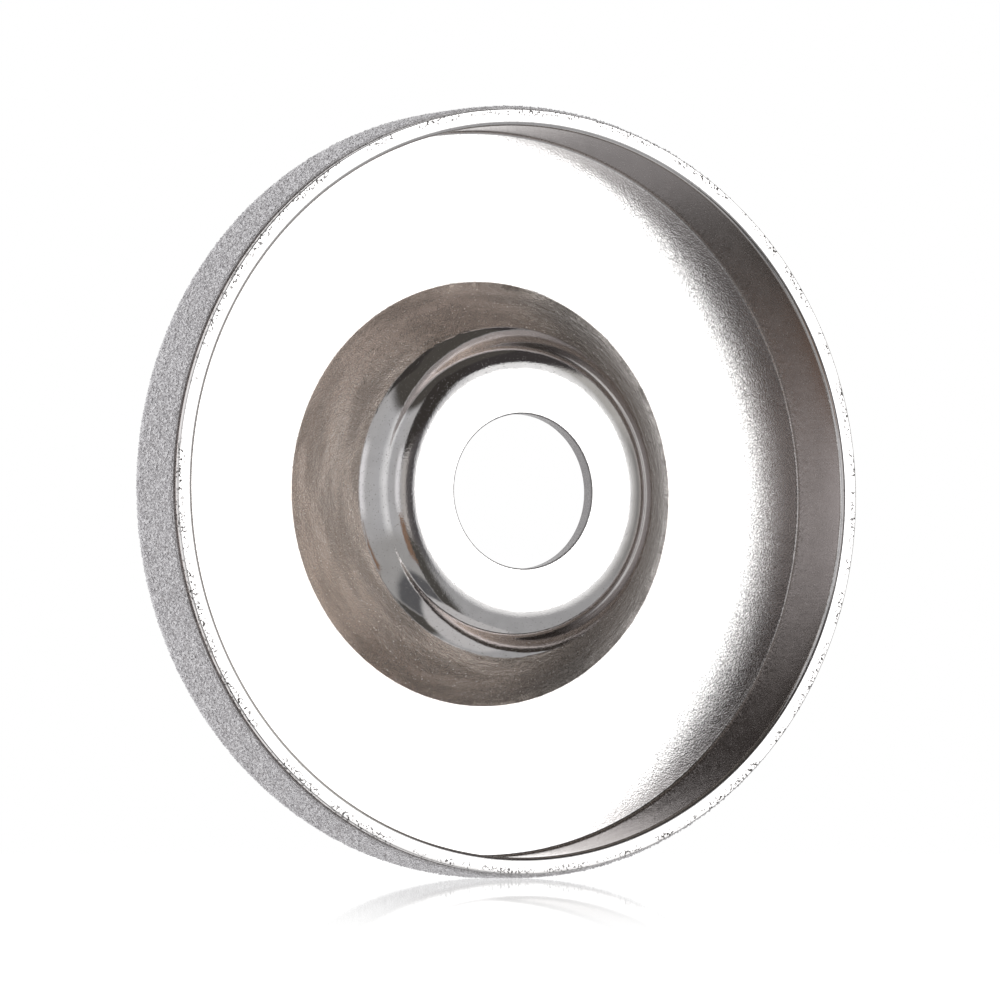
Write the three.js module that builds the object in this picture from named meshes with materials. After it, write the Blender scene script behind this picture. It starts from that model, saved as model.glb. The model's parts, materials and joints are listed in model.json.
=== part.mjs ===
// A cup-shaped electroplated diamond grinding wheel: a steel cup pressed from one round blank,
// with a raised hollow boss in its middle, and on its outside a plated abrasive coating made of
// a nickel bond layer and the diamond grit that the bond holds.
//
// Millimetres, +Z up. The wheel spins about Y and its open side looks towards -Y. The origin is
// the centre of the bore in the plane of the flange seat, which is also the plane of the rim.
// A profile is a closed loop of points (radius, depth), where depth grows along +Y.

import * as THREE from "three";

// Whole wheel
const OUTER_RADIUS = 50;
const SEGMENTS = 72;

// Abrasive coating, counted outwards from the steel
const FIT_GAP = 0.02;
const BOND_THICKNESS = 0.22;
const GRIT_THICKNESS = 0.22;
const COAT_START_DEPTH = 0.55;
const COAT_INNER_RADIUS = 30.5;

// Pressed cup
const COAT_THICKNESS = 2 * FIT_GAP + BOND_THICKNESS + GRIT_THICKNESS;
const STEEL_RADIUS = OUTER_RADIUS - COAT_THICKNESS;
const SHEET = 2.2;
const WEB_DEPTH = 11.6;
const RIM_OUTER_ROUND = 0.5;
const RIM_INNER_ROUND = 0.75;
const INNER_CORNER_ROUND = 0.8;
const OUTER_CORNER_ROUND = 3.4;

// Boss: flat seat, rounded shoulder, hollow foot, flare that swells slightly down to the web
const BORE_RADIUS = 10;
const BORE_EDGE = 0.2;
const SEAT_RADIUS = 15.3;
const SHOULDER_ROUND = 4.4;
const WALL_TILT = 57;
const FOOT_ROUND = 9.5;
const FOOT_TILT = 35;
const FLARE_SWELL = 6;
const BASE_RADIUS = 27.65;

// Facets in each rounded stretch
const FINE = 3;
const MEDIUM = 5;
const COARSE = 8;

const radians = THREE.MathUtils.degToRad;

// The direction a surface faces, from its tilt in degrees: 0 faces the open side, 90 faces outwards.
function facing(tilt) {
  return new THREE.Vector2(Math.sin(radians(tilt)), -Math.cos(radians(tilt)));
}

// Points round an arc about centre, between two tilts. A negative radius makes a hollow arc.
function arc(centre, radius, fromTilt, toTilt, steps) {
  const points = [];
  for (let i = 0; i <= steps; i += 1) {
    const tilt = fromTilt + ((toTilt - fromTilt) * i) / steps;
    points.push(centre.clone().addScaledVector(facing(tilt), radius));
  }
  return points;
}

function point(radius, depth) {
  return new THREE.Vector2(radius, depth);
}

const shoulderCentre = point(SEAT_RADIUS, SHOULDER_ROUND);
const wallEnd = shoulderCentre.clone().addScaledVector(facing(WALL_TILT), SHOULDER_ROUND);
const footCentre = wallEnd.clone().addScaledVector(facing(WALL_TILT), FOOT_ROUND);
const crease = footCentre.clone().addScaledVector(facing(FOOT_TILT), -FOOT_ROUND);

// The flare is an arc from the crease to the base. Its tilt turns by the swell on each side of
// the straight line between the two.
const base = point(BASE_RADIUS, WEB_DEPTH);
const flareTilt = THREE.MathUtils.radToDeg(Math.atan2(base.y - crease.y, base.x - crease.x));
const flareFrom = flareTilt - FLARE_SWELL;
const flareTo = flareTilt + FLARE_SWELL;
const flareRound = base.distanceTo(crease) / 2 / Math.sin(radians(FLARE_SWELL));
const flareCentre = crease.clone().addScaledVector(facing(flareFrom), -flareRound);

// The open side of the boss, from the edge of the seat out to the web.
function bossOpenSide() {
  return [
    ...arc(shoulderCentre, SHOULDER_ROUND, 0, WALL_TILT, COARSE),
    ...arc(footCentre, -FOOT_ROUND, WALL_TILT, FOOT_TILT, MEDIUM).slice(1),
    ...arc(flareCentre, flareRound, flareFrom, flareTo, FINE).slice(1),
  ];
}

// The same surface one sheet thickness deeper. It is mitred under the crease between foot and
// flare, and rounded about the sharp line where the flare meets the web.
function bossClosedSide() {
  const turn = radians(flareFrom - FOOT_TILT) / 2;
  const middle = facing((flareFrom + FOOT_TILT) / 2);
  const mitre = crease.clone().addScaledVector(middle, -SHEET / Math.cos(turn));
  return [
    ...arc(shoulderCentre, SHOULDER_ROUND - SHEET, 0, WALL_TILT, MEDIUM),
    ...arc(footCentre, -FOOT_ROUND - SHEET, WALL_TILT, FOOT_TILT, MEDIUM).slice(1, -1),
    mitre,
    ...arc(flareCentre, flareRound - SHEET, flareFrom, flareTo, FINE).slice(1, -1),
    ...arc(base, -SHEET, flareTo, 0, MEDIUM),
  ];
}

// The rounded corner from the wall round to the closed face, at a height above the steel.
const cornerCentre = point(
  STEEL_RADIUS - OUTER_CORNER_ROUND,
  WEB_DEPTH + SHEET - OUTER_CORNER_ROUND,
);
function outerCorner(height) {
  return arc(cornerCentre, OUTER_CORNER_ROUND + height, 90, 180, MEDIUM);
}

// The inside corner, the rim and the outside corner, from the web's open side to its closed side.
function wallProfile() {
  const innerRadius = STEEL_RADIUS - SHEET;
  const insideCorner = point(innerRadius - INNER_CORNER_ROUND, WEB_DEPTH - INNER_CORNER_ROUND);
  const innerLip = point(innerRadius + RIM_INNER_ROUND, RIM_INNER_ROUND);
  const outerLip = point(STEEL_RADIUS - RIM_OUTER_ROUND, RIM_OUTER_ROUND);
  return [
    ...arc(insideCorner, -INNER_CORNER_ROUND, 0, -90, FINE),
    ...arc(innerLip, RIM_INNER_ROUND, -90, 0, FINE),
    ...arc(outerLip, RIM_OUTER_ROUND, 0, 90, FINE),
    ...outerCorner(0),
  ];
}

function boreProfile() {
  return [
    point(BORE_RADIUS + BORE_EDGE, SHEET),
    point(BORE_RADIUS, SHEET - BORE_EDGE),
    point(BORE_RADIUS, BORE_EDGE),
    point(BORE_RADIUS + BORE_EDGE, 0),
  ];
}

function cupProfile() {
  return [
    ...boreProfile(),
    ...bossOpenSide(),
    ...wallProfile(),
    ...bossClosedSide().reverse(),
  ];
}

// One layer of the coating, between two heights above the steel: along the wall, round the
// corner and in over the closed face.
function coatProfile(low, high) {
  const layer = (height) => [
    point(STEEL_RADIUS + height, COAT_START_DEPTH),
    ...outerCorner(height),
    point(COAT_INNER_RADIUS, WEB_DEPTH + SHEET + height),
  ];
  return [...layer(high), ...layer(low).reverse()];
}

function turned(name, profile, colour, metalness, roughness) {
  const geometry = new THREE.LatheGeometry([...profile, profile[0]], SEGMENTS);
  const material = new THREE.MeshStandardMaterial({ color: colour, metalness, roughness });
  const mesh = new THREE.Mesh(geometry, material);
  mesh.name = name;
  return mesh;
}

const bondLow = FIT_GAP;
const bondHigh = bondLow + BOND_THICKNESS;
const gritLow = bondHigh + FIT_GAP;
const gritHigh = gritLow + GRIT_THICKNESS;

const wheel = new THREE.Group();
wheel.add(turned("pressed_steel_cup", cupProfile(), 0xc9c5bf, 1.0, 0.16));
wheel.add(turned("nickel_bond_layer", coatProfile(bondLow, bondHigh), 0x8f8f8e, 1.0, 0.45));
wheel.add(turned("diamond_grit_layer", coatProfile(gritLow, gritHigh), 0xa9acb0, 0.4, 0.55));

export default wheel;
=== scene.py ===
import json
import math
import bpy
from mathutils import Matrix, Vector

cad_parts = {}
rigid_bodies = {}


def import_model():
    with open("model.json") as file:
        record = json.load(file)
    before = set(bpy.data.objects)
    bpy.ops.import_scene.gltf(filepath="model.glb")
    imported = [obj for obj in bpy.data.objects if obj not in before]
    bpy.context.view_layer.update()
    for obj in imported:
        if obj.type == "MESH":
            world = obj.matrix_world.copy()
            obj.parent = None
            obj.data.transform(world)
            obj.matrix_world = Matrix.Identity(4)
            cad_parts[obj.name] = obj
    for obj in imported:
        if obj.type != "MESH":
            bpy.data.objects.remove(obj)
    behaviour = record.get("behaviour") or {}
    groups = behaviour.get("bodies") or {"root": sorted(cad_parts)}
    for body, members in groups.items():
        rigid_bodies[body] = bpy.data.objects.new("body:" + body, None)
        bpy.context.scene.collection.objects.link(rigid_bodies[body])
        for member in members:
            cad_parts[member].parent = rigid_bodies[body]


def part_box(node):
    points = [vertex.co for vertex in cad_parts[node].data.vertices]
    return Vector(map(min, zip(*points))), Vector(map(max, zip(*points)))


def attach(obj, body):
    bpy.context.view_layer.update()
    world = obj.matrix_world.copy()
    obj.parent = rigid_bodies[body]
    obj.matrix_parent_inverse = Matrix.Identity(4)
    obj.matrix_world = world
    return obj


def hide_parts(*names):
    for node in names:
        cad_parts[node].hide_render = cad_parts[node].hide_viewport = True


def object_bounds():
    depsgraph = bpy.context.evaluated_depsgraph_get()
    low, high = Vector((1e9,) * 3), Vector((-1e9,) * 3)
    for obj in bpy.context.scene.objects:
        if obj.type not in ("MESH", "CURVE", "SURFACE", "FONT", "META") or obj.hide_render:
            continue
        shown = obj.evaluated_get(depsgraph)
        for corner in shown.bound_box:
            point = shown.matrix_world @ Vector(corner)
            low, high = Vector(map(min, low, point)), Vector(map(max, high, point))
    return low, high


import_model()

from types import SimpleNamespace

import bpy
from mathutils import Euler, Matrix, Vector

"""A cup-shaped diamond grinding wheel: pressed, nickel-plated steel with plated diamond grit.

Metres, +Z up. The wheel's axis is Y, its open side faces -Y, and the origin is the centre of
the bore in the plane of the flange seat and the rim. A profile point is (radius, depth), and
depth grows along +Y.
"""

bl_info = {
    "name": "Diamond Cup Wheel",
    "version": (1, 0, 0),
    "blender": (4, 5, 0),
    "location": "View3D > Sidebar > Cup Wheel",
    "description": "Builds an electroplated diamond grinding wheel around its packed frame",
    "category": "Add Mesh",
}

MM = 0.001
FRAME_WIDTH = 36
CUP_NODE = "pressed_steel_cup"
BOND_NODE = "nickel_bond_layer"
GRIT_NODE = "diamond_grit_layer"

CAD_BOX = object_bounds()
CUP_LOW, CUP_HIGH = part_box(CUP_NODE)
BOND_LOW, BOND_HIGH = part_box(BOND_NODE)
GRIT_LOW, GRIT_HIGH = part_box(GRIT_NODE)


# ---------------------------------------------------------------- settings


class CupSettings(bpy.types.PropertyGroup):
    """Sizes and colour of the pressed steel cup."""

    sheet: bpy.props.FloatProperty(
        name="Sheet", description="Thickness of the steel", default=2.2 * MM, unit="LENGTH"
    )
    bore_radius: bpy.props.FloatProperty(
        name="Bore radius", description="Half the spindle hole", default=10 * MM, unit="LENGTH"
    )
    seat_radius: bpy.props.FloatProperty(
        name="Seat radius", description="Outer edge of the flat flange seat",
        default=15.3 * MM, unit="LENGTH",
    )
    shoulder_round: bpy.props.FloatProperty(
        name="Shoulder round", description="Radius of the boss's shoulder",
        default=4.4 * MM, unit="LENGTH",
    )
    foot_round: bpy.props.FloatProperty(
        name="Foot round", description="Radius of the hollow below the shoulder",
        default=9.5 * MM, unit="LENGTH",
    )
    wall_tilt: bpy.props.FloatProperty(
        name="Boss wall tilt", description="Steepest slope of the boss",
        default=math.radians(57), subtype="ANGLE",
    )
    foot_tilt: bpy.props.FloatProperty(
        name="Foot tilt", description="Slope where the hollow foot meets the flare",
        default=math.radians(35), subtype="ANGLE",
    )
    flare_swell: bpy.props.FloatProperty(
        name="Flare swell", description="How far the flare's slope turns each way from its mean",
        default=math.radians(6), subtype="ANGLE",
    )
    base_radius: bpy.props.FloatProperty(
        name="Base radius", description="Where the flare meets the web",
        default=27.65 * MM, unit="LENGTH",
    )
    inner_corner: bpy.props.FloatProperty(
        name="Inner corner", description="Radius between web and wall inside the cup",
        default=0.4 * MM, unit="LENGTH",
    )
    outer_corner: bpy.props.FloatProperty(
        name="Outer corner", description="Radius between wall and closed face",
        default=3.4 * MM, unit="LENGTH",
    )
    inner_lip: bpy.props.FloatProperty(
        name="Inner lip", description="Rounding of the rim's inner edge",
        default=0.6 * MM, unit="LENGTH",
    )
    outer_lip: bpy.props.FloatProperty(
        name="Outer lip", description="Rounding of the rim's outer edge",
        default=0.18 * MM, unit="LENGTH",
    )
    steps: bpy.props.IntProperty(
        name="Steps", description="Facets round the wheel", default=288, min=24
    )
    colour: bpy.props.FloatVectorProperty(
        name="Plate colour", description="Bright nickel plate", subtype="COLOR",
        default=(0.81, 0.795, 0.79),
    )
    # The flare's brown tint is painted reflection: it stands in for the brown room that the
    # flare mirrors.
    flare_colour: bpy.props.FloatVectorProperty(
        name="Flare colour", description="Thin, browned plate on the flare", subtype="COLOR",
        default=(0.91, 0.82, 0.74),
    )
    # Painted light and shade: plate_colour uses this colour on the wall's right side and a copy
    # 1.4 times lighter on its left.
    wall_colour: bpy.props.FloatVectorProperty(
        name="Wall colour", description="Duller plate inside the wall", subtype="COLOR",
        default=(0.53, 0.485, 0.47),
    )
    bore_colour: bpy.props.FloatVectorProperty(
        name="Bore colour", description="Bare punched steel in the bore", subtype="COLOR",
        default=(0.30, 0.29, 0.295),
    )


class CoatSettings(bpy.types.PropertyGroup):
    """Sizes and colours of the abrasive coating."""

    inner_radius: bpy.props.FloatProperty(
        name="Inner radius", description="Where the coating ends on the closed face",
        default=30.5 * MM, unit="LENGTH",
    )
    grain: bpy.props.FloatProperty(
        name="Grain size", description="Mean width of a diamond grain",
        default=0.34 * MM, unit="LENGTH",
    )
    spacing: bpy.props.FloatProperty(
        name="Grain spacing", description="Least distance between grain centres",
        default=0.27 * MM, unit="LENGTH",
    )
    bare_edge: bpy.props.FloatProperty(
        name="Bare edge", description="Bond left without grains beside the rim",
        default=0.45 * MM, unit="LENGTH",
    )
    sectors: bpy.props.IntProperty(
        name="Sectors", description="Pieces that the grit is built in", default=8, min=1
    )
    seed: bpy.props.IntProperty(name="Seed", description="Scatter of the grains", default=7)
    bond_colour: bpy.props.FloatVectorProperty(
        name="Bond colour", description="Matt nickel between the grains", subtype="COLOR",
        default=(0.72, 0.71, 0.72),
    )
    grain_colour: bpy.props.FloatVectorProperty(
        name="Grain colour", description="Grey diamond", subtype="COLOR",
        default=(0.92, 0.91, 0.93),
    )


class StudioSettings(bpy.types.PropertyGroup):
    """Camera and floor."""

    azimuth: bpy.props.FloatProperty(
        name="Azimuth", description="Camera's turn to the left of the wheel's axis",
        default=math.radians(27.55), subtype="ANGLE",
    )
    elevation: bpy.props.FloatProperty(
        name="Elevation", description="Camera's height above the wheel's centre",
        default=math.radians(-2.05), subtype="ANGLE",
    )
    distance: bpy.props.FloatProperty(
        name="Distance", description="Camera to the wheel's centre", default=1.25, unit="LENGTH"
    )
    aim_right: bpy.props.FloatProperty(
        name="Aim right", description="Wheel's centre right of the optical axis",
        default=3.0 * MM, unit="LENGTH",
    )
    aim_up: bpy.props.FloatProperty(
        name="Aim up", description="Wheel's centre above the optical axis",
        default=1.15 * MM, unit="LENGTH",
    )
    lens: bpy.props.FloatProperty(
        name="Lens", default=348.2,
        description=f"Focal length in millimetres on a {FRAME_WIDTH} mm wide frame",
    )
    floor_colour: bpy.props.FloatVectorProperty(
        name="Floor colour", description="Glossy white board", subtype="COLOR",
        default=(1.0, 1.0, 1.0),
    )


# ---------------------------------------------------------------- shader maths


class Socket:
    """A value in a node tree. Arithmetic on it adds Math nodes."""

    def __init__(self, shop, socket):
        self.shop = shop
        self.socket = socket

    def maths(self, operation, first, second):
        return self.shop.node(
            "ShaderNodeMath", {"operation": operation}, {0: first, 1: second}
        )

    def __add__(self, other):
        return self.maths("ADD", self, other)

    def __radd__(self, other):
        return self.maths("ADD", other, self)

    def __sub__(self, other):
        return self.maths("SUBTRACT", self, other)

    def __rsub__(self, other):
        return self.maths("SUBTRACT", other, self)

    def __mul__(self, other):
        return self.maths("MULTIPLY", self, other)

    def __rmul__(self, other):
        return self.maths("MULTIPLY", other, self)

    def minimum(self, other):
        return self.maths("MINIMUM", self, other)

    def above(self, low, high):
        """0 below low, 1 above high, smooth between. With low over high it falls instead."""
        values = {"Value": self, "From Min": low, "From Max": high}
        if low > high:
            values = {
                "Value": self, "From Min": high, "From Max": low, "To Min": 1.0, "To Max": 0.0,
            }
        return self.shop.node(
            "ShaderNodeMapRange", {"interpolation_type": "SMOOTHSTEP"}, values
        )


class Shop:
    """Builds one node tree."""

    def __init__(self, tree):
        self.tree = tree
        tree.nodes.clear()

    def node(self, kind, settings=None, values=None, out=0):
        """Adds a node, sets it, then gives its sockets their values or links."""
        made = self.tree.nodes.new(kind)
        for key, value in (settings or {}).items():
            if key == "stops":
                self.ramp_stops(made.color_ramp, value)
            else:
                setattr(made, key, value)
        for key, value in (values or {}).items():
            if isinstance(value, Socket):
                self.tree.links.new(value.socket, made.inputs[key])
            else:
                made.inputs[key].default_value = value
        return Socket(self, made.outputs[out]) if made.outputs else None

    def ramp_stops(self, ramp, stops):
        while len(ramp.elements) < len(stops):
            ramp.elements.new(1.0)
        for element, (place, colour) in zip(ramp.elements, stops):
            element.position = place
            element.color = (*colour, 1.0)

    def place(self):
        """Where the surface is, in metres."""
        return self.node("ShaderNodeTexCoord", out="Object")

    def parts(self, vector):
        made = self.node("ShaderNodeSeparateXYZ", values={0: vector})
        return [Socket(self, s) for s in made.socket.node.outputs]

    def join(self, x, y, z):
        return self.node("ShaderNodeCombineXYZ", values={0: x, 1: y, 2: z})

    def length(self, vector):
        return self.node("ShaderNodeVectorMath", {"operation": "LENGTH"}, {0: vector}, out=1)

    def turn(self, across, along):
        """The angle in radians whose tangent is across / along."""
        return self.node("ShaderNodeMath", {"operation": "ARCTAN2"}, {0: across, 1: along})

    def stretch(self, vector, scale):
        return self.node(
            "ShaderNodeVectorMath", {"operation": "MULTIPLY"}, {0: vector, 1: scale}
        )

    def noise(self, vector, size, detail=2.0, roughness=0.5):
        """Noise from 0 to 1 with features about one size across."""
        return self.node(
            "ShaderNodeTexNoise",
            values={
                "Vector": vector, "Scale": 1.0 / size, "Detail": detail, "Roughness": roughness,
            },
        )

    def mix_colour(self, factor, first, second):
        return self.node(
            "ShaderNodeMix", {"data_type": "RGBA"}, {0: factor, 6: first, 7: second}, out=2
        )

    def bump(self, height, distance):
        """The normal of a surface that stands out by height times distance."""
        return self.node(
            "ShaderNodeBump", values={"Height": height, "Distance": distance, "Strength": 1.0}
        )


def finished(name, build):
    """A material whose surface is what build(shop) returns."""
    material = bpy.data.materials.new(name)
    material.use_nodes = True
    shop = Shop(material.node_tree)
    surface = build(shop)
    shop.node("ShaderNodeOutputMaterial", values={"Surface": surface})
    return material


def rgba(colour, share=1.0):
    """A colour for a socket, made lighter or darker by a share."""
    return tuple(c * share for c in colour) + (1.0,)


# ---------------------------------------------------------------- modelling

WELD = 0.001 * MM
SHARP_ABOVE = math.radians(12)
QUARTER = math.pi / 2

# Facets along each rounded stretch of the section
BORE_STEPS = 3
BOSS_STEPS = 16
RECESS_STEPS = 12
LIP_STEPS = 8
RIM_STEPS = 6
CORNER_STEPS = 10

BORE_EDGE = 0.2 * MM
BOND_GAP = 0.02 * MM
BOND_BARE_SHARE = 0.8


def deselect_everything():
    if bpy.context.object and bpy.context.object.mode != "OBJECT":
        bpy.ops.object.mode_set(mode="OBJECT")
    bpy.ops.object.select_all(action="DESELECT")


def start_at(place):
    """One vertex in edit mode: a small plane merged to its middle."""
    deselect_everything()
    bpy.ops.mesh.primitive_plane_add(size=MM, location=place)
    bpy.ops.object.transform_apply(location=True, rotation=True, scale=True)
    bpy.ops.object.mode_set(mode="EDIT")
    bpy.ops.mesh.select_all(action="SELECT")
    bpy.ops.mesh.merge(type="CENTER")
    return bpy.context.object


def drawn(corners):
    """A line of edges in edit mode, drawn by extruding one vertex from corner to corner."""
    piece = start_at(corners[0])
    for here, there in zip(corners, corners[1:]):
        bpy.ops.mesh.extrude_region_move(TRANSFORM_OT_translate={"value": there - here})
    bpy.ops.mesh.select_all(action="SELECT")
    return piece


def weld():
    bpy.ops.mesh.select_all(action="SELECT")
    bpy.ops.mesh.remove_doubles(threshold=WELD)


def settle(mesh):
    """Puts the faces in an order that is the same on every run. The scatter draws by face."""
    places = [vertex.co.copy() for vertex in mesh.vertices]
    rings = []
    for face in mesh.polygons:
        ring = list(face.vertices)
        start = ring.index(min(ring))
        ring = ring[start:] + ring[:start]
        rings.append(min(ring, ring[:1] + ring[:0:-1]))
    mesh.clear_geometry()
    mesh.from_pydata(places, [], sorted(rings))


def spin(piece, steps, angle):
    """Sweeps what is selected about the wheel's axis, and leaves edit mode."""
    bpy.ops.mesh.spin(steps=steps, angle=angle, center=(0, 0, 0), axis=(0, 1, 0))
    weld()
    bpy.ops.object.mode_set(mode="OBJECT")
    settle(piece.data)


def spun(name, profile, steps):
    """A closed ring: the profile drawn as a loop, then spun once round."""
    corners = [Vector((radius, depth, 0.0)) for radius, depth in profile]
    piece = drawn(corners + corners[:1])
    weld()
    spin(piece, steps, math.tau)
    bpy.ops.object.mode_set(mode="EDIT")
    bpy.ops.mesh.select_all(action="SELECT")
    bpy.ops.mesh.normals_make_consistent(inside=False)
    bpy.ops.object.mode_set(mode="OBJECT")
    bpy.ops.object.shade_smooth_by_angle(angle=SHARP_ABOVE)
    piece.name = name
    piece.data.name = name
    piece.data.transform(piece.matrix_world)
    piece.matrix_world = Matrix.Identity(4)
    return piece


def facing(tilt):
    """The way a surface looks: tilt 0 to the open side, a quarter turn outwards."""
    return Vector((math.sin(tilt), -math.cos(tilt)))


def arc(centre, radius, start, end, steps):
    """Points round centre between two tilts. A negative radius makes a hollow arc."""
    turns = [start + (end - start) * i / steps for i in range(steps + 1)]
    return [centre + facing(tilt) * radius for tilt in turns]


def boss_places(cup):
    """The centres of the shoulder's and the foot's arcs, and the crease where the foot ends."""
    shoulder = Vector((cup.seat_radius, cup.shoulder_round))
    wall_end = shoulder + facing(cup.wall_tilt) * cup.shoulder_round
    foot = wall_end + facing(cup.wall_tilt) * cup.foot_round
    crease = foot - facing(cup.foot_tilt) * cup.foot_round
    return shoulder, foot, crease


def boss_profile(cup, web_depth, deeper, steps):
    """One side of the boss, from seat to web, a given distance into the sheet."""
    shoulder, foot, crease = boss_places(cup)
    base = Vector((cup.base_radius, web_depth))
    slope = math.atan2(base.y - crease.y, base.x - crease.x)
    start, end = slope - cup.flare_swell, slope + cup.flare_swell
    swell = (base - crease).length / 2 / math.sin(cup.flare_swell)
    flare = crease - facing(start) * swell
    half = (start - cup.foot_tilt) / 2
    mitre = crease - facing(cup.foot_tilt + half) * (deeper / math.cos(half))
    points = arc(shoulder, cup.shoulder_round - deeper, 0, cup.wall_tilt, steps)
    points += arc(foot, -cup.foot_round - deeper, cup.wall_tilt, cup.foot_tilt, steps)[1:-1]
    points += [mitre] + arc(flare, swell - deeper, start, end, steps)[1:-1]
    if deeper:
        return points + arc(base, -deeper, end, 0, steps // 2)
    return points + [base]


def outer_corner(cup, height):
    """The turn from the wall to the closed face, a given height above the steel."""
    centre = Vector((CUP_HIGH.x - cup.outer_corner, CUP_HIGH.y - cup.outer_corner))
    return arc(centre, cup.outer_corner + height, QUARTER, math.pi, CORNER_STEPS)


def cup_profile(cup):
    """The whole section of the sheet as one loop."""
    web_depth = CUP_HIGH.y - cup.sheet
    inner_face = CUP_HIGH.x - cup.sheet
    bore_edge = cup.bore_radius + BORE_EDGE
    closed_end = Vector((bore_edge, cup.sheet - BORE_EDGE))
    open_end = Vector((bore_edge, BORE_EDGE))
    inside = Vector((inner_face - cup.inner_corner, web_depth - cup.inner_corner))
    inner_lip = Vector((inner_face + cup.inner_lip, cup.inner_lip))
    outer_lip = Vector((CUP_HIGH.x - cup.outer_lip, cup.outer_lip))
    loop = arc(closed_end, BORE_EDGE, -math.pi, -QUARTER, BORE_STEPS)
    loop += arc(open_end, BORE_EDGE, -QUARTER, 0, BORE_STEPS)
    loop += boss_profile(cup, web_depth, 0.0, BOSS_STEPS)
    loop += arc(inside, -cup.inner_corner, 0, -QUARTER, LIP_STEPS)
    loop += arc(inner_lip, cup.inner_lip, -QUARTER, 0, LIP_STEPS)
    loop += arc(outer_lip, cup.outer_lip, 0, QUARTER, RIM_STEPS)
    loop += outer_corner(cup, 0.0)
    return loop + boss_profile(cup, web_depth, cup.sheet, RECESS_STEPS)[::-1]


def bond_profile(cup, coat):
    """The bond's section, from just above the steel to its outer face."""
    rim_end = BOND_LOW.y + coat.bare_edge * BOND_BARE_SHARE

    def layer(height):
        start = Vector((CUP_HIGH.x + height, rim_end))
        end = Vector((coat.inner_radius, CUP_HIGH.y + height))
        return [start, *outer_corner(cup, height), end]

    return layer(BOND_HIGH.x - CUP_HIGH.x) + layer(BOND_GAP)[::-1]


# ---------------------------------------------------------------- finishes


# Where the plate's look changes: radius from and to, and distance right of the axis from and to
GRAINED_RADIUS = 37 * MM, 44 * MM
GRAINED_RIGHT = 16 * MM, 38 * MM
HAMMERED_RADIUS = 24.5 * MM, 22 * MM
HAMMERED_RIGHT = -10 * MM, -17 * MM
# Painted shade: the flare's plate darkens towards the right, from 0 to 14 mm right of the axis.
FLARE_PAINTED_SHADE_RIGHT = 0.0, 14 * MM
# Painted light and shade: the wall's plate is lighter on the left, below -5 mm, and darker on
# the right, above 30 mm.
WALL_PAINTED_SHADE_RIGHT = -5 * MM, 30 * MM

SOIL_COLOUR = (0.10, 0.095, 0.09)
DUST_COLOUR = (0.85, 0.84, 0.83)


def plate_zones(shop, cup):
    """The cup's coordinates, and masks of the stretches that are finished differently."""
    place = shop.place()
    x, y, z = shop.parts(place)
    radius = shop.length(shop.join(x, 0.0, z))
    angle = shop.turn(z, 0.0 - x)
    bore, seat, base, steel = cup.bore_radius, cup.seat_radius, cup.base_radius, CUP_HIGH.x
    inner_face = steel - cup.sheet
    crease = boss_places(cup)[2].x
    wall = radius.above(inner_face - cup.inner_corner, inner_face + 0.08 * MM)
    rim = wall * y.above(cup.inner_lip, cup.inner_lip / 2)
    beyond = radius.above(base - 0.25 * MM, base + 0.25 * MM)
    hollow = radius.above(crease - 0.15 * MM, crease + 0.15 * MM)
    shoulder = radius.above(seat - 0.7 * MM, seat + 0.1 * MM)
    return SimpleNamespace(
        place=place,
        x=x,
        unrolled=shop.join(radius, angle * (4 * MM), 0.0),
        bore=radius.above(bore + 0.2 * MM, bore + 0.1 * MM),
        boss=1.0 - hollow,
        shoulder=shoulder * radius.above(seat + 3.1 * MM, seat + 2.1 * MM),
        flare=hollow * (1.0 - beyond),
        web=beyond * (1.0 - wall),
        inner=wall - rim,
        rim=rim,
        edge=wall * radius.above(steel - 1.22 * MM, steel - 0.32 * MM),
        grained=radius.above(*GRAINED_RADIUS) * x.above(*GRAINED_RIGHT),
        hammered=radius.above(*HAMMERED_RADIUS) * x.above(*HAMMERED_RIGHT),
    )


def plate_height(shop, zone):
    """How far the plate stands out, in millimetres: grain, nubs, dints, streaks and waves."""
    peel = shop.noise(zone.place, 0.18 * MM, 1.0, 0.5)
    nubs = shop.noise(zone.place, 0.22 * MM, 2.0, 0.6) - 0.5
    dints = shop.noise(zone.place, 1.2 * MM, 2.0, 0.5) - 0.5
    rings = shop.noise(zone.unrolled, 0.6 * MM, 2.0, 0.55) - 0.5
    streaks = shop.noise(shop.stretch(zone.place, (1.0, 0.06, 1.0)), 0.35 * MM, 3.0, 0.6)
    waves = shop.noise(zone.place, 4.0 * MM, 2.0)
    web_peel = zone.web * (0.018 + zone.grained * 0.050)
    height = peel * (web_peel + zone.boss * 0.002 + zone.inner * 0.010)
    height = height + peel * zone.shoulder * 0.009
    height = height + nubs * (zone.flare * (0.12 + zone.hammered * 0.12) + zone.bore * 0.18)
    height = height + (dints * 0.14 + rings * 0.16) * zone.flare
    height = height + streaks * zone.inner * 0.02
    return height + waves * (0.006 + zone.boss * 0.02 + zone.inner * 0.05)


def plate_soil(shop, zone):
    """Dirt in the pits along the rim's outer edge, and a few dark specks elsewhere."""
    pits = shop.noise(zone.place, 0.38 * MM, 3.0, 0.6).above(0.53, 0.61)
    patches = shop.noise(zone.place, 5.0 * MM, 3.0, 0.7).above(0.40, 0.54)
    specks = shop.noise(zone.place, 0.16 * MM, 0.0).above(0.76, 0.80)
    soil = pits * patches * zone.edge * 0.85 + pits * patches * zone.rim * 0.12
    soil = soil + specks * (zone.web * 0.18 + zone.boss * 0.30 + zone.rim * 0.2)
    return soil.minimum(1.0)


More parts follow.
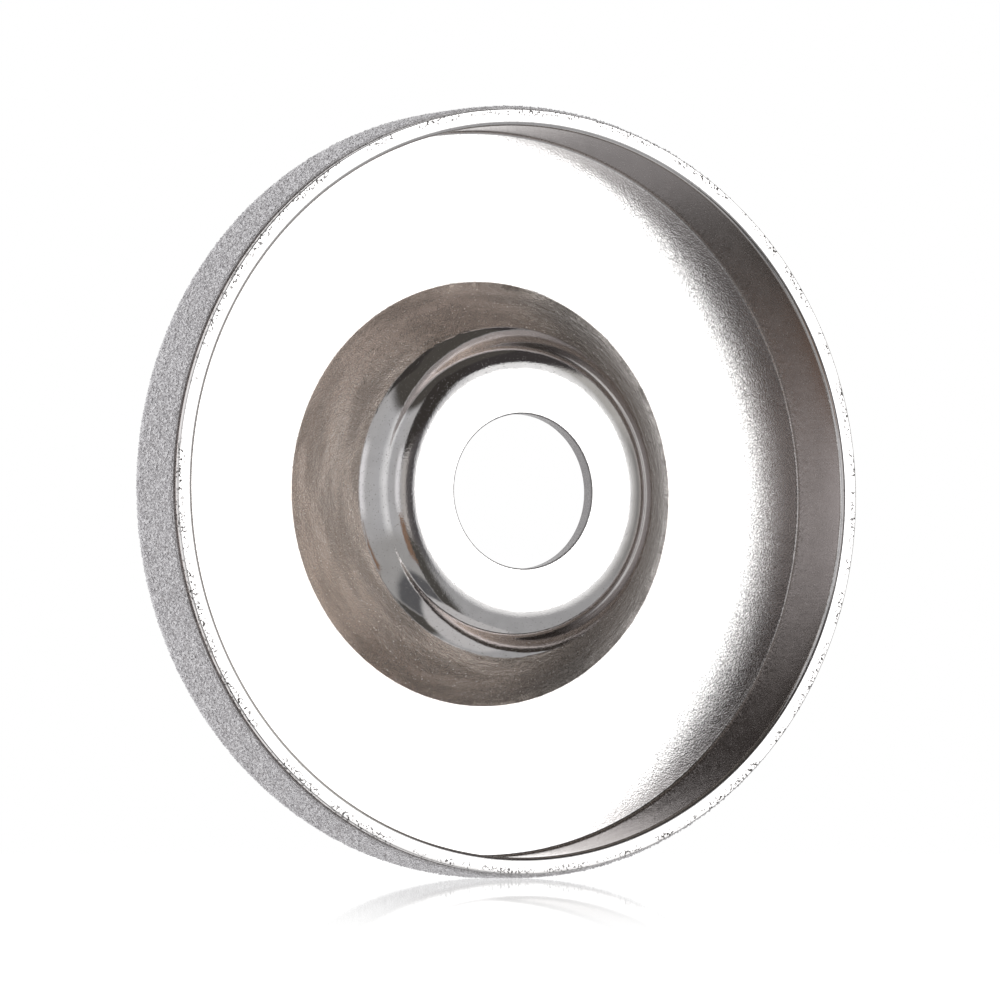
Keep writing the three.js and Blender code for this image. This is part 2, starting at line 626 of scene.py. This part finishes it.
def plate_colour(shop, cup, zone):
    """Bright plate, duller inside the wall and gone in the bore, with painted reflection, light
    and shade: a brown tint on the flare stands in for the brown room it mirrors, the flare's
    right side is painted darker, and the wall is painted lighter on its left than on its right.
    """
    brown, dull = cup.flare_colour, cup.wall_colour
    tone = shop.noise(zone.place, 2.2 * MM, 3.0).above(0.3, 0.7)
    stain = shop.noise(zone.unrolled, 2.0 * MM, 2.0).above(0.38, 0.62)
    colour = shop.mix_colour(tone, rgba(cup.colour), rgba(cup.colour, 0.93))
    # Painted reflection: the flare's brown tint, with a random lighter or darker tone.
    reflection_tinted = shop.mix_colour(stain, rgba(brown, 0.78), rgba(brown, 1.08))
    # Painted shade: the flare's plate is painted darker on the right side of the wheel.
    reflection_tinted = shop.mix_colour(zone.x.above(*FLARE_PAINTED_SHADE_RIGHT), reflection_tinted, rgba(brown, 0.42))
    colour = shop.mix_colour(zone.flare, colour, reflection_tinted)
    # Painted light and shade: the wall's plate is painted lighter on the left and darker on the
    # right.
    wall_painted_light_and_shade = shop.mix_colour(zone.x.above(*WALL_PAINTED_SHADE_RIGHT), rgba(dull, 1.4), rgba(dull))
    colour = shop.mix_colour(zone.inner, colour, wall_painted_light_and_shade)
    return shop.mix_colour(zone.bore, colour, rgba(cup.bore_colour))


def plate_finish(cup):
    """Nickel plate: a mirror on the boss, orange peel on the web, nubby on the flare."""

    def build(shop):
        zone = plate_zones(shop, cup)
        soil = plate_soil(shop, zone)
        dust = shop.noise(zone.place, 0.21 * MM, 0.0).above(0.225, 0.185)
        dust = dust * (zone.inner * 0.8 + zone.flare * 0.4)
        colour = shop.mix_colour(soil, plate_colour(shop, cup, zone), rgba(SOIL_COLOUR))
        colour = shop.mix_colour(dust, colour, rgba(DUST_COLOUR))
        roughness = 0.045 + zone.web * 0.04 + zone.flare * 0.05 + zone.inner * 0.045
        roughness = roughness + zone.bore * 0.20 + soil * 0.4 + dust * 0.6
        height = plate_height(shop, zone) - soil * 0.03
        return shop.node(
            "ShaderNodeBsdfPrincipled",
            values={
                "Base Color": colour, "Metallic": 1.0, "Roughness": roughness,
                "Normal": shop.bump(height, MM),
            },
        )

    return finished("bright_nickel_plate", build)


def bond_finish(coat):
    """Matt nickel between the grains."""

    def build(shop):
        place = shop.place()
        lumps = shop.noise(place, 0.25 * MM, 3.0)
        colour = shop.mix_colour(
            lumps.above(0.35, 0.65), rgba(coat.bond_colour, 0.75), rgba(coat.bond_colour, 1.15)
        )
        return shop.node(
            "ShaderNodeBsdfPrincipled",
            values={
                "Base Color": colour, "Metallic": 0.8, "Roughness": 0.5,
                "Normal": shop.bump(lumps, 0.08 * MM),
            },
        )

    return finished("matt_nickel_bond", build)


def grain_finish(coat):
    """Grey diamond, each patch of grains a little lighter or darker than the next."""

    def build(shop):
        place = shop.place()
        patch = shop.noise(place, 0.5 * MM, 1.0).above(0.35, 0.65)
        colour = shop.mix_colour(
            patch, rgba(coat.grain_colour, 0.9), rgba(coat.grain_colour, 1.1)
        )
        return shop.node(
            "ShaderNodeBsdfPrincipled",
            values={"Base Color": colour, "Metallic": 0.25, "Roughness": 0.38},
        )

    return finished("grey_diamond", build)


# ---------------------------------------------------------------- grains


CRYSTAL_KINDS = 4
CRYSTAL_CUTS = 3
KIND_TURN = (1.1, 0.7)      # radians about X and Y from one kind of crystal to the next
CUT_TURN = (2.4, 1.3)       # radians about X and Y from one cut to the next
CUBE_SHARE = 0.9            # the uncut cube's side, in grain sizes
CRYSTAL_WELD = 0.02 * MM
SINK = 0.6                  # a grain's centre below the grit's top, in grain sizes
GRAIN_SCALE = (0.72, 1.18)  # the smallest and largest grain, in grain sizes
CROWDING = 1.6              # points tried on each square of one spacing's side
SECTOR_STEPS = 24


def crystal(kind, size):
    """One blocky grain: a cube cut flat by a few tilted planes."""
    deselect_everything()
    bpy.ops.mesh.primitive_cube_add(size=size * CUBE_SHARE, location=(0, 0, 0))
    bpy.ops.object.mode_set(mode="EDIT")
    for i in range(CRYSTAL_CUTS):
        tilt = [between * kind + step * i for between, step in zip(KIND_TURN, CUT_TURN)]
        normal = Euler((*tilt, 0.0)).to_matrix() @ Vector((0.0, 0.0, 1.0))
        bpy.ops.mesh.select_all(action="SELECT")
        bpy.ops.mesh.bisect(
            plane_co=normal * size * (0.40 + 0.02 * i), plane_no=normal,
            use_fill=True, clear_outer=True, threshold=WELD,
        )
    bpy.ops.mesh.select_all(action="SELECT")
    bpy.ops.mesh.remove_doubles(threshold=CRYSTAL_WELD)
    bpy.ops.mesh.normals_make_consistent(inside=False)
    bpy.ops.object.mode_set(mode="OBJECT")
    grain = bpy.context.object
    grain.name = f"crystal_{kind}"
    return grain


def crystal_box(coat):
    """A collection, outside the scene, of the crystals that the scatter picks from."""
    crystals = bpy.data.collections.new("crystals")
    for kind in range(CRYSTAL_KINDS):
        grain = crystal(kind, coat.grain)
        for home in grain.users_collection:
            home.objects.unlink(grain)
        crystals.objects.link(grain)
    return crystals


def scatter_group(coat, crystals):
    """Geometry nodes that set a grain on every point of a surface, then join them."""
    group = bpy.data.node_groups.new("scatter_grains", "GeometryNodeTree")
    group.interface.new_socket("Surface", in_out="INPUT", socket_type="NodeSocketGeometry")
    group.interface.new_socket("Grains", in_out="OUTPUT", socket_type="NodeSocketGeometry")
    shop = Shop(group)
    surface = shop.node("NodeGroupInput")
    points = shop.node(
        "GeometryNodeDistributePointsOnFaces", {"distribute_method": "POISSON"},
        {
            "Mesh": surface, "Distance Min": coat.spacing,
            "Density Max": CROWDING / coat.spacing ** 2, "Seed": coat.seed,
        },
    )
    collected = shop.node(
        "GeometryNodeCollectionInfo", {"transform_space": "ORIGINAL"},
        {"Collection": crystals, "Separate Children": True, "Reset Children": True},
    )
    turn = shop.node(
        "FunctionNodeRandomValue", {"data_type": "FLOAT_VECTOR"},
        {0: (0.0, 0.0, 0.0), 1: (math.tau, math.tau, math.tau), "Seed": coat.seed + 1},
    )
    smallest, largest = GRAIN_SCALE
    size = shop.node(
        "FunctionNodeRandomValue", {"data_type": "FLOAT"},
        {2: smallest, 3: largest, "Seed": coat.seed + 2}, out=1,
    )
    grains = shop.node(
        "GeometryNodeInstanceOnPoints",
        values={
            "Points": points, "Instance": collected, "Pick Instance": True,
            "Rotation": turn, "Scale": size,
        },
    )
    solid = shop.node("GeometryNodeRealizeInstances", values={"Geometry": grains})
    shop.node("NodeGroupOutput", values={0: solid})
    return group


def grain_surface(cup, coat, first, last):
    """The sheet that the grains' centres lie on, between two angles."""
    height = GRIT_HIGH.x - CUP_HIGH.x - coat.grain * SINK
    half = coat.grain * 0.5
    path = [
        Vector((CUP_HIGH.x + height, GRIT_LOW.y + half + coat.bare_edge)),
        *outer_corner(cup, height),
        Vector((coat.inner_radius + half, CUP_HIGH.y + height)),
    ]
    turn = Matrix.Rotation(first, 3, "Y")
    piece = drawn([turn @ Vector((p.x, p.y, 0.0)) for p in path])
    spin(piece, SECTOR_STEPS, last - first)
    return piece


# ---------------------------------------------------------------- studio

# The room's walls as the plate mirrors them: azimuth in degrees (0 straight in front of the open
# side, 90 to its right) and colour.
ROOM = (
    (-180, (1.0, 1.0, 1.0)),
    (-93, (1.0, 1.0, 1.0)),
    (-84, (0.80, 0.80, 0.81)),
    (-75, (0.48, 0.48, 0.49)),
    (-38, (0.46, 0.455, 0.455)),
    (-19, (0.50, 0.47, 0.45)),
    (-13, (0.13, 0.12, 0.12)),
    (5, (0.08, 0.075, 0.08)),
    (11, (0.70, 0.70, 0.71)),
    (20, (1.00, 1.00, 1.00)),
    (40, (0.92, 0.92, 0.92)),
    (56, (0.52, 0.51, 0.50)),
    (75, (0.25, 0.245, 0.24)),
    (90, (0.34, 0.32, 0.30)),
    (112, (0.34, 0.32, 0.30)),
    (128, (1.0, 1.0, 1.0)),
    (180, (1.0, 1.0, 1.0)),
)
# Each card that stands in the room: name, azimuth from and to, elevation from and to, how soft
# its edge is, all in degrees, and colour.
CARDS = (
    ("hot_spot", (22, 33), (0, 11), 8, (2.4, 2.4, 2.4)),
    ("strip", (-47, -42), (-4, 17), 9, (0.85, 0.84, 0.86)),
    ("low_side", (-120, -38), (-50, -28), 12, (0.38, 0.375, 0.37)),
    ("ceiling", (-110, 125), (52, 120), 9, (0.075, 0.069, 0.062)),
    ("dark_valance", (-34, 95), (37, 62), 4, (0.050, 0.045, 0.045)),
    ("above_camera", (-35, 4), (19, 60), 5, (0.045, 0.040, 0.037)),
    ("below_camera", (-31, 0), (-62, -17), 4, (0.080, 0.075, 0.069)),
    ("brown_wall", (-43, -31), (-30, -12), 4, (0.24, 0.155, 0.11)),
    ("high_side", (58, 100), (18, 34), 7, (0.48, 0.47, 0.45)),
    ("bright_table", (4, 125), (-64, -26), 16, (0.40, 0.40, 0.405)),
    ("dark_table", (-78, -38), (-62, -50), 7, (0.115, 0.115, 0.12)),
    ("table", (-200, 200), (-120, -68), 5, (0.56, 0.55, 0.55)),
)

WHITE = (1.0, 1.0, 1.0)
FLOOR_SIDE = 6.0
FLOOR_GLOW = 1.1
FLOOR_SHARE = 0.5             # gloss against glow where the gloss is strongest
FLOOR_ROUGHNESS = 0.015
FADE_IN_FRONT = (0.95, 0.35)  # metres from the wheel towards the camera
FADE_BEHIND = (-0.10, 0.0)
FADE_STEEP = (0.85, 0.97)     # from a steep view of the floor to a grazing one


def mirrored_room(scene):
    """White to the camera. Reflections see a room of white, grey, brown and black cards."""
    world = bpy.data.worlds.new("studio")
    world.use_nodes = True
    scene.world = world
    shop = Shop(world.node_tree)
    x, y, z = shop.parts(shop.node("ShaderNodeTexCoord", out="Generated"))
    azimuth = shop.turn(x, 0.0 - y) * math.degrees(1)
    elevation = shop.node("ShaderNodeMath", {"operation": "ARCSINE"}, {0: z}) * math.degrees(1)
    stops = [((place + 180) / 360, colour) for place, colour in ROOM]
    room = shop.node("ShaderNodeValToRGB", {"stops": stops}, {0: azimuth * (1 / 360) + 0.5})
    for _, (left, right), (bottom, top), soft, colour in CARDS:
        mask = azimuth.above(left - soft, left) * azimuth.above(right + soft, right)
        mask = mask * elevation.above(bottom - soft, bottom) * elevation.above(top + soft, top)
        room = shop.mix_colour(mask, room, rgba(colour))
    seen = shop.node("ShaderNodeLightPath", out="Is Camera Ray")
    colour = shop.mix_colour(seen, room, rgba(WHITE))
    glow = shop.node("ShaderNodeBackground", values={"Color": colour, "Strength": 1.0})
    shop.node("ShaderNodeOutputWorld", values={"Surface": glow})


def floor_finish(studio):
    """A glowing white board. Seen at a grazing angle, it mirrors the wheel in front of it."""

    def build(shop):
        x, y, _ = shop.parts(shop.place())
        nearer = 0.0 - (x * math.sin(studio.azimuth) + y * math.cos(studio.azimuth))
        grazing = shop.node("ShaderNodeLayerWeight", values={"Blend": 0.5}, out="Facing")
        share = nearer.above(*FADE_IN_FRONT) * nearer.above(*FADE_BEHIND)
        share = share * grazing.above(*FADE_STEEP) * FLOOR_SHARE
        colour = rgba(studio.floor_colour)
        board = shop.node(
            "ShaderNodeEmission", values={"Color": colour, "Strength": FLOOR_GLOW}
        )
        gloss = shop.node(
            "ShaderNodeBsdfGlossy", values={"Color": colour, "Roughness": FLOOR_ROUGHNESS}
        )
        return shop.node("ShaderNodeMixShader", values={0: share, 1: board, 2: gloss})

    return finished("white_board", build)


def camera_axes(azimuth, elevation):
    """The camera's right, up and back directions."""
    right = Vector((math.cos(azimuth), -math.sin(azimuth), 0.0))
    back = Vector((
        -math.sin(azimuth) * math.cos(elevation),
        -math.cos(azimuth) * math.cos(elevation),
        math.sin(elevation),
    ))
    return right, back.cross(right), back


# ---------------------------------------------------------------- operators


class CUPWHEEL_OT_steel_cup(bpy.types.Operator):
    """Spin the pressed steel cup and plate it."""

    bl_idname = "cupwheel.steel_cup"
    bl_label = "Steel Cup"

    def execute(self, context):
        cup = context.scene.cup_wheel_cup
        piece = spun("steel_cup", cup_profile(cup), cup.steps)
        piece.data.materials.append(plate_finish(cup))
        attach(piece, "root")
        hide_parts(CUP_NODE)
        return {"FINISHED"}


class CUPWHEEL_OT_nickel_bond(bpy.types.Operator):
    """Lay the nickel bond over the wall, the corner and the closed face."""

    bl_idname = "cupwheel.nickel_bond"
    bl_label = "Nickel Bond"

    def execute(self, context):
        cup = context.scene.cup_wheel_cup
        coat = context.scene.cup_wheel_coat
        piece = spun("nickel_bond", bond_profile(cup, coat), cup.steps)
        piece.data.materials.append(bond_finish(coat))
        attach(piece, "root")
        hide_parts(BOND_NODE)
        return {"FINISHED"}


class CUPWHEEL_OT_diamond_grit(bpy.types.Operator):
    """Set the diamond grains in the bond, one sector after another."""

    bl_idname = "cupwheel.diamond_grit"
    bl_label = "Diamond Grit"

    def execute(self, context):
        cup = context.scene.cup_wheel_cup
        coat = context.scene.cup_wheel_coat
        crystals = crystal_box(coat)
        finish = grain_finish(coat)
        group = scatter_group(coat, crystals)
        for i in range(coat.sectors):
            first = math.tau * i / coat.sectors
            piece = grain_surface(cup, coat, first, first + math.tau / coat.sectors)
            piece.name = f"diamond_grains_{i + 1}"
            scatter = piece.modifiers.new("grains", "NODES")
            scatter.node_group = group
            bpy.ops.object.modifier_apply(modifier="grains")
            piece.data.materials.clear()
            piece.data.materials.append(finish)
            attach(piece, "root")
            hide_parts(GRIT_NODE)
        for grain in list(crystals.objects):
            bpy.data.objects.remove(grain)
        return {"FINISHED"}


class CUPWHEEL_OT_studio(bpy.types.Operator):
    """Set up the floor, the mirrored room and the camera."""

    bl_idname = "cupwheel.studio"
    bl_label = "Studio"

    def execute(self, context):
        studio = context.scene.cup_wheel_studio
        deselect_everything()
        bpy.ops.mesh.primitive_plane_add(size=FLOOR_SIDE, location=(0, 0, CAD_BOX[0].z))
        floor = context.object
        floor.name = "floor"
        bpy.ops.object.transform_apply(location=True)
        floor.data.materials.append(floor_finish(studio))
        floor.visible_glossy = False
        floor.visible_diffuse = False
        mirrored_room(context.scene)
        self.add_camera(context.scene, studio)
        context.scene.view_settings.view_transform = "Standard"
        return {"FINISHED"}

    def add_camera(self, scene, studio):
        right, up, back = camera_axes(studio.azimuth, studio.elevation)
        place = back * studio.distance - right * studio.aim_right - up * studio.aim_up
        camera = bpy.data.cameras.new("camera")
        camera.lens = studio.lens
        camera.sensor_width = FRAME_WIDTH
        camera.clip_end = 20
        holder = bpy.data.objects.new("camera", camera)
        turn = Matrix((right, up, back)).transposed()
        holder.matrix_world = Matrix.LocRotScale(place, turn.to_quaternion(), None)
        scene.collection.objects.link(holder)
        scene.camera = holder


class CUPWHEEL_PT_panel(bpy.types.Panel):
    """The wheel's builders, in the sidebar."""

    bl_label = "Cup Wheel"
    bl_space_type = "VIEW_3D"
    bl_region_type = "UI"
    bl_category = "Cup Wheel"

    def draw(self, context):
        for operator in OPERATORS:
            self.layout.operator(operator.bl_idname)


SETTINGS = {
    "cup_wheel_cup": CupSettings,
    "cup_wheel_coat": CoatSettings,
    "cup_wheel_studio": StudioSettings,
}
OPERATORS = (
    CUPWHEEL_OT_steel_cup,
    CUPWHEEL_OT_nickel_bond,
    CUPWHEEL_OT_diamond_grit,
    CUPWHEEL_OT_studio,
)


def register():
    for name, group in SETTINGS.items():
        bpy.utils.register_class(group)
        setattr(bpy.types.Scene, name, bpy.props.PointerProperty(type=group))
    for operator in (*OPERATORS, CUPWHEEL_PT_panel):
        bpy.utils.register_class(operator)


def unregister():
    for operator in (*OPERATORS, CUPWHEEL_PT_panel):
        bpy.utils.unregister_class(operator)
    for name, group in SETTINGS.items():
        delattr(bpy.types.Scene, name)
        bpy.utils.unregister_class(group)


def main():
    register()
    bpy.ops.cupwheel.steel_cup()
    bpy.ops.cupwheel.nickel_bond()
    bpy.ops.cupwheel.diamond_grit()
    bpy.ops.cupwheel.studio()


if __name__ == "__main__":
    main()
